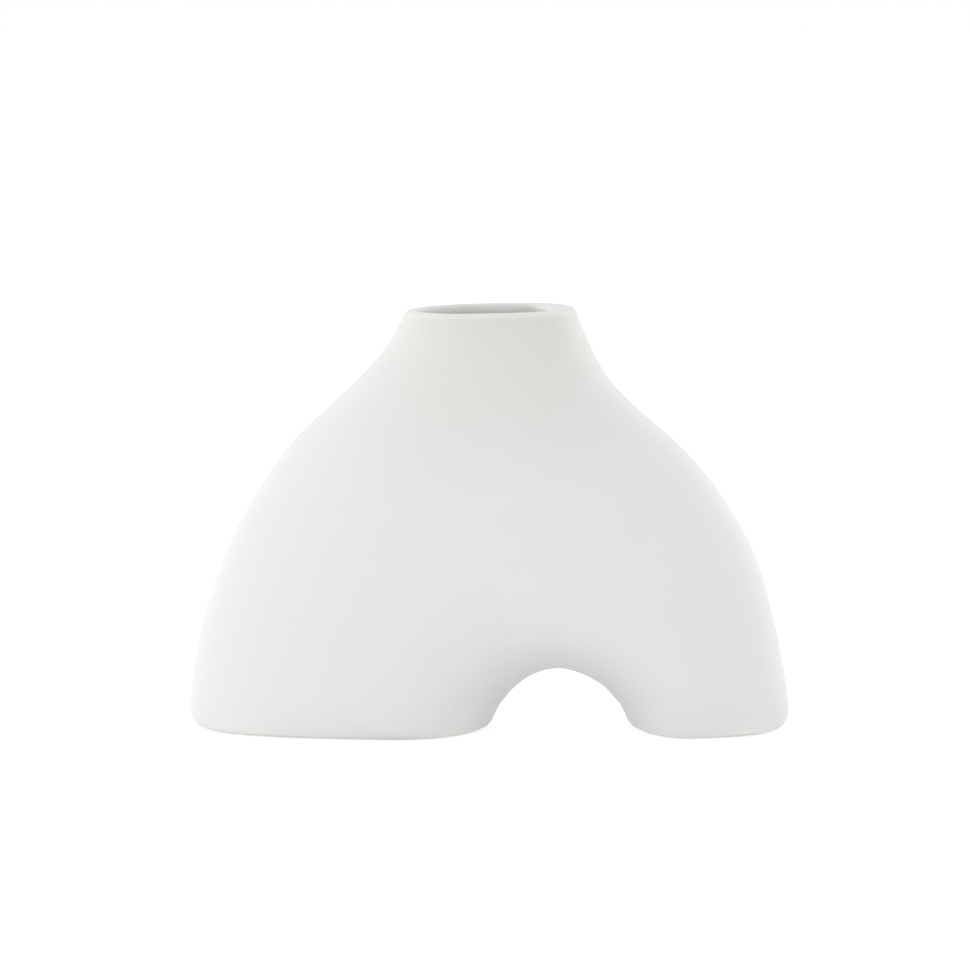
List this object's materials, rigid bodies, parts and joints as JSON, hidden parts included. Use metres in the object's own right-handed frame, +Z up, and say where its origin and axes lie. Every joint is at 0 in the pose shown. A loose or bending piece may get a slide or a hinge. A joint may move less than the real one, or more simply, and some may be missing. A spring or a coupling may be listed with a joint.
{
  "type": "stoneware vase",
  "caption": "White stoneware vase with one round neck and two rounded feet joined by a low arch, hollow throughout, for cut or dried stems.",
  "frame": {"origin": "centre of the bounding box's bottom face, level with the undersides of the felt pads", "axes": "+X along the width, from the larger foot to the smaller one; +Y from the front seen in the picture to the back; +Z up, out of the mouth"},
  "size_m": [0.3, 0.1116, 0.2112],
  "materials": {
    "clay": "bare fired stoneware, dry and slightly sandy",
    "matt_glaze": "matt white glaze with a fine dry grain",
    "gloss_glaze": "glossy white liner glaze",
    "felt": "pressed wool felt"
  },
  "bodies": {
    "root": {"clay_body": "clay", "outer_glaze": "matt_glaze", "inner_glaze": "gloss_glaze", "left_foot_pad_front": "felt", "left_foot_pad_back": "felt", "left_foot_pad_outer": "felt", "right_foot_pad_front": "felt", "right_foot_pad_back": "felt"}
  },
  "joints": []
}
